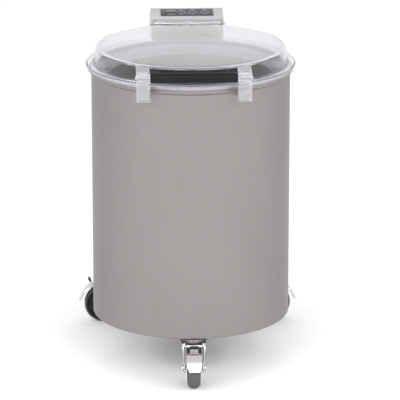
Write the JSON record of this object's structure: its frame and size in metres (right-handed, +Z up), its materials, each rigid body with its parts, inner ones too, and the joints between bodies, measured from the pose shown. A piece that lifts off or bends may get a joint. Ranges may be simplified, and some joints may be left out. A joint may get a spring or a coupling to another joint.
{
  "type": "centrifugal vegetable dryer",
  "caption": "Upright round spin dryer on braked swivel castors, with a clear hinged lid, latches, lift-out basket, belt drive and rear control head.",
  "frame": {"origin": "middle of the footprint, on the floor", "axes": "+Z up, -Y towards the front, where the latches and grip are, +X to the right seen from the front"},
  "size_m": [0.56, 0.75, 0.8156],
  "materials": {
    "satin_steel": "satin rolled stainless sheet",
    "bright_steel": "bright stainless",
    "chromed_steel": "bright zinc-chromed pressed steel",
    "clear_lid": "clear moulded polycarbonate",
    "grey_housing": "fine-textured light grey housing",
    "black_plastic": "satin black moulding",
    "black_rubber": "black rubber",
    "grey_tyre": "grey non-marking rubber tread",
    "pale_seal": "pale silicone",
    "cast_metal": "cast, machined on its seats",
    "keypad_film": "dark grey keypad film",
    "button_cap": "dark grey moulded cap",
    "board": "green circuit board"
  },
  "bodies": {
    "root": {"base_plate": "satin_steel", "outer_casing": "satin_steel", "inner_tub": "bright_steel", "rim_seal": "pale_seal", "drain_spout": "bright_steel", "tub_mount_front": "black_rubber", "tub_mount_right": "black_rubber", "tub_mount_left": "black_rubber", "bearing_housing": "cast_metal", "lower_bearing": "bright_steel", "upper_bearing": "bright_steel", "shaft_seal": "black_rubber", "drive_belt": "black_rubber", "motor_mount": "satin_steel", "motor_body": "cast_metal", "hinge_pin": "bright_steel", "control_head": "grey_housing", "lid_switch": "black_plastic", "rear_column": "grey_housing", "column_back_cover": "satin_steel", "cable_inlet": "black_plastic", "keypad_panel": "keypad_film", "display_window": "black_plastic", "circuit_board": "board", "castor_plate_front": "bright_steel", "castor_plate_rear_left": "bright_steel", "castor_plate_rear_right": "bright_steel"},
    "rotor": {"drive_shaft": "bright_steel", "driven_pulley": "cast_metal", "drive_hub": "black_plastic"},
    "motor_rotor": {"motor_shaft": "bright_steel", "motor_pulley": "cast_metal"},
    "basket_body": {"basket": "bright_steel"},
    "lid": {"lid_dome": "clear_lid", "lid_hinge_leaf": "clear_lid", "lid_magnet": "black_plastic", "grip_bar": "black_plastic", "latch_rod": "bright_steel", "latch_bracket_left": "clear_lid", "latch_bracket_right": "clear_lid"},
    "latch_left_body": {"latch_left": "clear_lid"},
    "latch_right_body": {"latch_right": "clear_lid"},
    "start_button_body": {"start_button": "button_cap"},
    "stop_button_body": {"stop_button": "button_cap"},
    "timer_button_body": {"timer_button": "button_cap"},
    "fork_front": {"castor_fork_front": "chromed_steel", "castor_axle_front": "chromed_steel"},
    "wheel_front": {"castor_rim_front": "black_plastic", "castor_tyre_front": "grey_tyre"},
    "pedal_front": {"brake_pedal_front": "chromed_steel"},
    "fork_rear_left": {"castor_fork_rear_left": "chromed_steel", "castor_axle_rear_left": "chromed_steel"},
    "wheel_rear_left": {"castor_rim_rear_left": "black_plastic", "castor_tyre_rear_left": "grey_tyre"},
    "pedal_rear_left": {"brake_pedal_rear_left": "chromed_steel"},
    "fork_rear_right": {"castor_fork_rear_right": "chromed_steel", "castor_axle_rear_right": "chromed_steel"},
    "wheel_rear_right": {"castor_rim_rear_right": "black_plastic", "castor_tyre_rear_right": "grey_tyre"},
    "pedal_rear_right": {"brake_pedal_rear_right": "chromed_steel"}
  },
  "joints": [
    {"name": "basket_spin", "type": "hinge", "parent": "root", "child": "rotor", "pos_m": [0, -0.09, 0.24], "axis": [0, 0, 1], "continuous": true},
    {"name": "motor_spin", "type": "hinge", "parent": "root", "child": "motor_rotor", "pos_m": [0, 0.26, 0.24], "axis": [0, 0, 1], "continuous": true},
    {"name": "basket_lift", "type": "slide", "parent": "rotor", "child": "basket_body", "axis": [0, 0, 1], "range_m": [0, 0.045]},
    {"name": "lid_hinge", "type": "hinge", "parent": "root", "child": "lid", "pos_m": [0, 0.16, 0.795], "axis": [-1, 0, 0], "range_deg": [0, 88]},
    {"name": "latch_left_pivot", "type": "hinge", "parent": "lid", "child": "latch_left_body", "pos_m": [-0.12, -0.346, 0.781], "axis": [-1, 0, 0], "range_deg": [0, 75]},
    {"name": "latch_right_pivot", "type": "hinge", "parent": "lid", "child": "latch_right_body", "pos_m": [0.12, -0.346, 0.781], "axis": [-1, 0, 0], "range_deg": [0, 75]},
    {"name": "start_press", "type": "slide", "parent": "root", "child": "start_button_body", "axis": [0, 0.1149, -0.9934], "range_m": [0, 0.0012], "stiffness_N_per_m": 600},
    {"name": "stop_press", "type": "slide", "parent": "root", "child": "stop_button_body", "axis": [0, 0.1149, -0.9934], "range_m": [0, 0.0012], "stiffness_N_per_m": 600},
    {"name": "timer_press", "type": "slide", "parent": "root", "child": "timer_button_body", "axis": [0, 0.1149, -0.9934], "range_m": [0, 0.0012], "stiffness_N_per_m": 600},
    {"name": "swivel_front", "type": "hinge", "parent": "root", "child": "fork_front", "pos_m": [0, -0.278, 0.11], "axis": [0, 0, 1], "continuous": true},
    {"name": "roll_front", "type": "hinge", "parent": "fork_front", "child": "wheel_front", "pos_m": [0, -0.313, 0.0475], "axis": [1, 0, 0], "continuous": true},
    {"name": "brake_front", "type": "hinge", "parent": "fork_front", "child": "pedal_front", "pos_m": [0, -0.308, 0.1015], "axis": [1, 0, 0], "range_deg": [0, 8]},
    {"name": "swivel_rear_left", "type": "hinge", "parent": "root", "child": "fork_rear_left", "pos_m": [-0.183, 0.204, 0.11], "axis": [0, 0, 1], "continuous": true},
    {"name": "roll_rear_left", "type": "hinge", "parent": "fork_rear_left", "child": "wheel_rear_left", "pos_m": [-0.218, 0.204, 0.0475], "axis": [0, -1, 0], "continuous": true},
    {"name": "brake_rear_left", "type": "hinge", "parent": "fork_rear_left", "child": "pedal_rear_left", "pos_m": [-0.213, 0.204, 0.1015], "axis": [0, -1, 0], "range_deg": [0, 8]},
    {"name": "swivel_rear_right", "type": "hinge", "parent": "root", "child": "fork_rear_right", "pos_m": [0.183, 0.204, 0.11], "axis": [0, 0, 1], "continuous": true},
    {"name": "roll_rear_right", "type": "hinge", "parent": "fork_rear_right", "child": "wheel_rear_right", "pos_m": [0.218, 0.204, 0.0475], "axis": [0, 1, 0], "continuous": true},
    {"name": "brake_rear_right", "type": "hinge", "parent": "fork_rear_right", "child": "pedal_rear_right", "pos_m": [0.213, 0.204, 0.1015], "axis": [0, 1, 0], "range_deg": [0, 8]}
  ],
  "couplings": [
    {"joint": "motor_spin", "follows": "basket_spin", "ratio": 2.4894}
  ]
}
